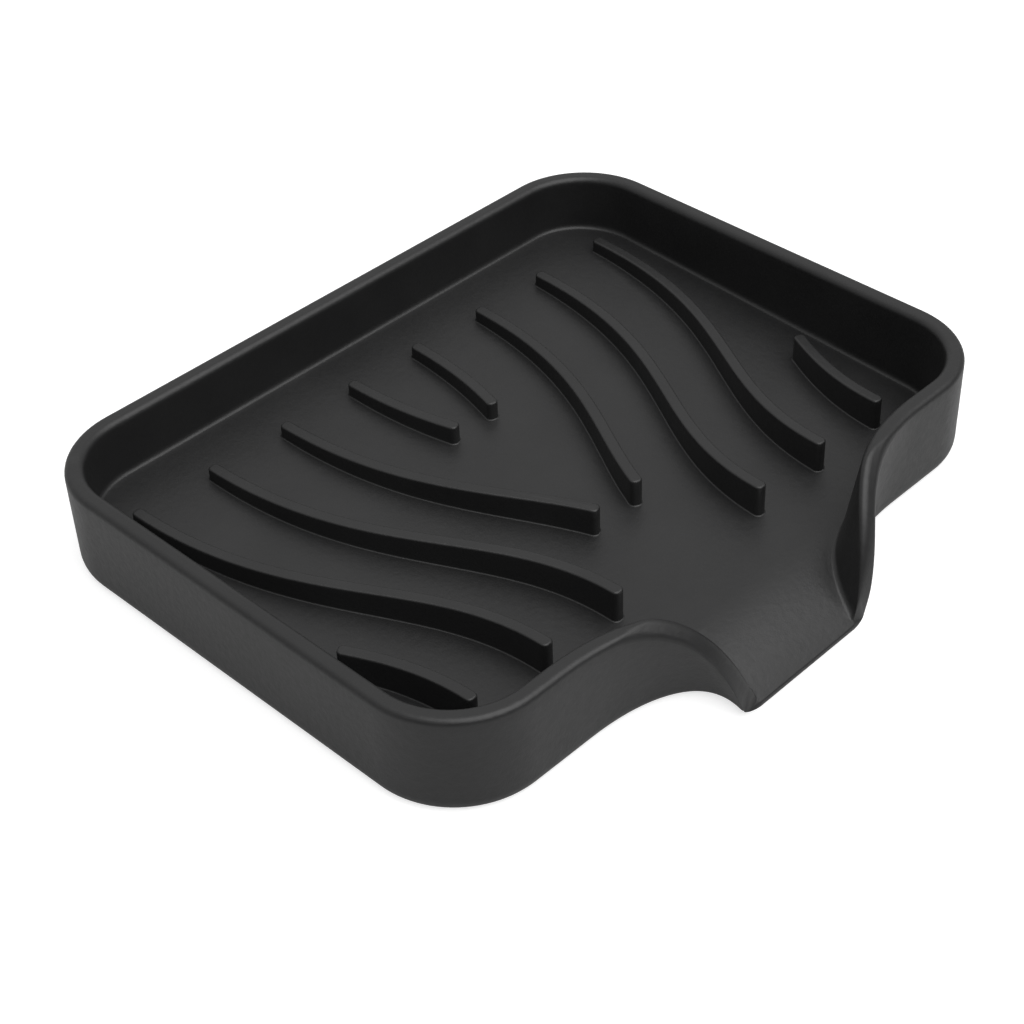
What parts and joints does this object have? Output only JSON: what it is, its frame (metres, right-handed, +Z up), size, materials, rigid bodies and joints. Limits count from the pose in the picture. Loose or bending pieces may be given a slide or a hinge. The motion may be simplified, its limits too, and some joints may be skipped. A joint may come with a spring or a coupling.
{
  "type": "soap tray",
  "caption": "Shallow black silicone soap tray: sloping floor, curved draining ribs, upright rim and a pouring spout whose lip hangs over the counter's edge.",
  "frame": {"origin": "centre of the flat underside of the rounded rectangular body, in the plane the tray rests on; the spout's lip reaches below it", "axes": "+X along the tray, +Y towards its back wall (the spout points to -Y), +Z up"},
  "size_m": [0.12, 0.1001, 0.0201],
  "materials": {
    "silicone": "matt black silicone with a fine even grain"
  },
  "bodies": {
    "root": {"tray_shell": "silicone", "drain_rib_01": "silicone", "drain_rib_02": "silicone", "drain_rib_03": "silicone", "drain_rib_04": "silicone", "drain_rib_05": "silicone", "drain_rib_06": "silicone", "drain_rib_07": "silicone", "drain_rib_08": "silicone", "drain_rib_09": "silicone", "drain_rib_10": "silicone"}
  },
  "joints": []
}
